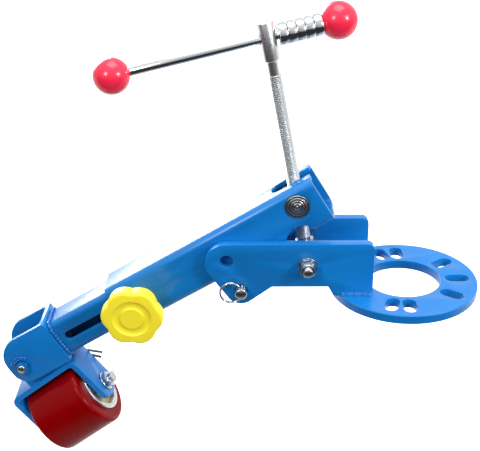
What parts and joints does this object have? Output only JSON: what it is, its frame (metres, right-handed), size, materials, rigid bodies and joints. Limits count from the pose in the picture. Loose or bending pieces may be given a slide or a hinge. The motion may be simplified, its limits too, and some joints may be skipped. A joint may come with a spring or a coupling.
{
  "type": "wheel-arch rolling tool",
  "caption": "Bench tool for rolling wheel-arch lips: a slotted hub plate carries a hinged telescopic arm raised by a T-handle lead screw, with a tilting roller in a yoke at the far end.",
  "frame": {"origin": "centre of the underside of the round hub plate, where it meets the wheel hub", "axes": "+Z out of the hub plate on the side of the arm, -X along the arm towards the roller, -Y on the side of the clamp knob"},
  "size_m": [0.5229, 0.16, 0.5186],
  "materials": {
    "mounting_base": "gloss enamel",
    "swivel_bolt": "zinc plated",
    "swivel_lock_nut": "zinc plated",
    "swivel_washer_near": "zinc plated",
    "swivel_washer_far": "zinc plated",
    "swivel_block": "zinc plated",
    "thrust_collar": "zinc plated",
    "lead_screw": "zinc plated",
    "handle_bar": "bright plated",
    "ball_grip_left": "moulded",
    "ball_grip_right": "moulded",
    "quick_release_pin": "zinc plated",
    "pull_ring": "zinc plated",
    "arm_outer": "gloss enamel",
    "clamp_plate": "zinc plated",
    "trunnion_nut": "zinc plated",
    "clamp_knob": "moulded",
    "clamp_stud": "zinc plated",
    "arm_inner": "gloss enamel",
    "clevis_bracket": "gloss enamel",
    "clevis_weld": "gloss enamel",
    "yoke_pivot_bolt": "zinc plated",
    "yoke_pivot_nut": "gloss enamel",
    "roller_yoke": "gloss enamel",
    "hairpin_clip": "zinc plated",
    "roller_axle": "zinc plated",
    "axle_nut": "zinc plated",
    "axle_washer": "zinc plated",
    "axle_cotter": "zinc plated",
    "axle_inner_left_sleeve": "zinc plated",
    "axle_inner_right_sleeve": "zinc plated",
    "roller_tyre": "moulded",
    "roller_hub": "turned",
    "bearing_left": "zinc plated",
    "bearing_right": "zinc plated",
    "lug_spacer_1": "zinc plated",
    "lug_spacer_2": "zinc plated",
    "lug_spacer_3": "zinc plated",
    "lug_spacer_4": "zinc plated",
    "lug_spacer_5": "zinc plated"
  },
  "bodies": {
    "base": {"mounting_base": "mounting_base", "swivel_bolt": "swivel_bolt", "swivel_lock_nut": "swivel_lock_nut", "swivel_washer_near": "swivel_washer_near", "swivel_washer_far": "swivel_washer_far"},
    "swivel": {"swivel_block": "swivel_block", "thrust_collar": "thrust_collar"},
    "screw": {"lead_screw": "lead_screw"},
    "bar": {"handle_bar": "handle_bar", "ball_grip_left": "ball_grip_left", "ball_grip_right": "ball_grip_right"},
    "pin": {"quick_release_pin": "quick_release_pin"},
    "ring": {"pull_ring": "pull_ring"},
    "arm": {"arm_outer": "arm_outer", "clamp_plate": "clamp_plate"},
    "trunnion": {"trunnion_nut": "trunnion_nut"},
    "knob": {"clamp_knob": "clamp_knob", "clamp_stud": "clamp_stud"},
    "inner": {"arm_inner": "arm_inner", "clevis_bracket": "clevis_bracket", "clevis_weld": "clevis_weld", "yoke_pivot_bolt": "yoke_pivot_bolt", "yoke_pivot_nut": "yoke_pivot_nut"},
    "yoke": {"roller_yoke": "roller_yoke", "hairpin_clip": "hairpin_clip", "roller_axle": "roller_axle", "axle_nut": "axle_nut", "axle_washer": "axle_washer", "axle_cotter": "axle_cotter", "axle_inner_left_sleeve": "axle_inner_left_sleeve", "axle_inner_right_sleeve": "axle_inner_right_sleeve"},
    "roller": {"roller_tyre": "roller_tyre", "roller_hub": "roller_hub", "bearing_left": "bearing_left", "bearing_right": "bearing_right"},
    "spacer_1": {"lug_spacer_1": "lug_spacer_1"},
    "spacer_2": {"lug_spacer_2": "lug_spacer_2"},
    "spacer_3": {"lug_spacer_3": "lug_spacer_3"},
    "spacer_4": {"lug_spacer_4": "lug_spacer_4"},
    "spacer_5": {"lug_spacer_5": "lug_spacer_5"}
  },
  "joints": [
    {"name": "screw_turn", "type": "hinge", "parent": "swivel", "child": "screw", "pos_m": [-0.106, 0, 0.045], "axis": [-0.1751, 0, 0.9845], "range_deg": [-3240, 2160]},
    {"name": "arm_pivot", "type": "hinge", "parent": "base", "child": "arm", "pos_m": [-0.1761, 0, 0.0163], "axis": [0, 1, 0], "range_deg": [-14.2, 9.5]},
    {"name": "swivel_tilt", "type": "hinge", "parent": "base", "child": "swivel", "pos_m": [-0.106, 0, 0.045], "axis": [0, 1, 0], "range_deg": [-16.9, 11.3]},
    {"name": "trunnion_tilt", "type": "hinge", "parent": "arm", "child": "trunnion", "pos_m": [-0.11718, 0, 0.10788], "axis": [0, 1, 0], "range_deg": [-2.8, 1.9]},
    {"name": "bar_slide", "type": "slide", "parent": "screw", "child": "bar", "axis": [0.9601, 0.2215, 0.1708], "range_m": [-0.001, 0.125]},
    {"name": "arm_telescope", "type": "slide", "parent": "arm", "child": "inner", "axis": [-0.859, 0, -0.512], "range_m": [-0.07, 0.08]},
    {"name": "knob_turn", "type": "hinge", "parent": "arm", "child": "knob", "pos_m": [-0.29089, 0, -0.0044], "axis": [0, -1, 0], "continuous": true},
    {"name": "yoke_tilt", "type": "hinge", "parent": "inner", "child": "yoke", "pos_m": [-0.42259, 0, -0.08872], "axis": [0, 1, 0], "range_deg": [0, 60]},
    {"name": "roller_spin", "type": "hinge", "parent": "yoke", "child": "roller", "pos_m": [-0.37305, 0, -0.15356], "axis": [0.7986, 0, 0.6018], "continuous": true},
    {"name": "pin_pull", "type": "slide", "parent": "base", "child": "pin", "axis": [0, -1, 0], "range_m": [0, 0.092]},
    {"name": "ring_swing", "type": "hinge", "parent": "pin", "child": "ring", "pos_m": [-0.1761, -0.042, 0.0163], "axis": [0, 0, 1], "range_deg": [-6, 100]},
    {"name": "spacer_1_spin", "type": "hinge", "parent": "bar", "child": "spacer_1", "pos_m": [-0.14768, 0, 0.27932], "axis": [0.9601, 0.2215, 0.1708], "continuous": true},
    {"name": "spacer_2_spin", "type": "hinge", "parent": "bar", "child": "spacer_2", "pos_m": [-0.14768, 0, 0.27932], "axis": [0.9601, 0.2215, 0.1708], "continuous": true},
    {"name": "spacer_3_spin", "type": "hinge", "parent": "bar", "child": "spacer_3", "pos_m": [-0.14768, 0, 0.27932], "axis": [0.9601, 0.2215, 0.1708], "continuous": true},
    {"name": "spacer_4_spin", "type": "hinge", "parent": "bar", "child": "spacer_4", "pos_m": [-0.14768, 0, 0.27932], "axis": [0.9601, 0.2215, 0.1708], "continuous": true},
    {"name": "spacer_5_spin", "type": "hinge", "parent": "bar", "child": "spacer_5", "pos_m": [-0.14768, 0, 0.27932], "axis": [0.9601, 0.2215, 0.1708], "continuous": true}
  ],
  "couplings": [
    {"joint": "arm_pivot", "follows": "screw_turn", "ratio": 0.0043059},
    {"joint": "swivel_tilt", "follows": "screw_turn", "ratio": 0.005124},
    {"joint": "trunnion_tilt", "follows": "screw_turn", "ratio": 0.0008181}
  ]
}
